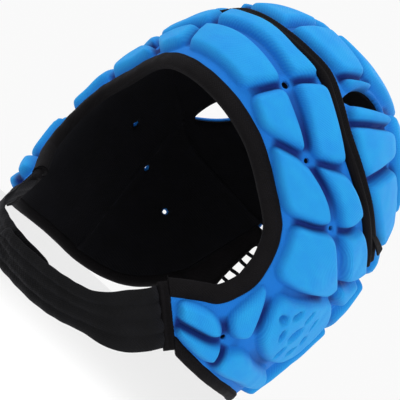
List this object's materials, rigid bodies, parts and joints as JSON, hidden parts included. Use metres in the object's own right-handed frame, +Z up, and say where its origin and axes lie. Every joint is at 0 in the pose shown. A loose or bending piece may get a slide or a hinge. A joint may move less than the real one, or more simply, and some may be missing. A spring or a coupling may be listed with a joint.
{
  "type": "rugby scrum cap",
  "caption": "Padded sports cap of moulded foam panels in knit cloth, with bound edges, a lined head hollow, ear domes, vents, back lacing and a padded chin strap.",
  "frame": {"origin": "the inside of the crown's top, where a head meets the lining", "axes": "+Z up as worn, the face looks along -Y, the wearer's left is +X"},
  "size_m": [0.207, 0.2087, 0.2449],
  "materials": {
    "blue_knit": "fine warp knit over moulded foam, matt with a slight sheen",
    "black_lining": "matt knit lining",
    "black_binding": "folded stretch binding with two rows of stitching",
    "black_strap": "brushed neoprene-backed knit",
    "black_lace": "braided round lace"
  },
  "bodies": {
    "root": {"front_panel": "blue_knit", "crown_panel": "blue_knit", "rear_panel_left": "blue_knit", "rear_panel_right": "blue_knit", "lining": "black_lining", "crown_piping": "black_binding", "face_binding": "black_binding", "neck_binding_left": "black_binding", "neck_binding_right": "black_binding", "strap_root_left": "black_binding", "strap_root_right": "black_binding", "chin_strap": "black_strap", "chin_strap_tab": "black_strap", "rear_lace": "black_lace", "lace_loop": "black_lace"}
  },
  "joints": []
}
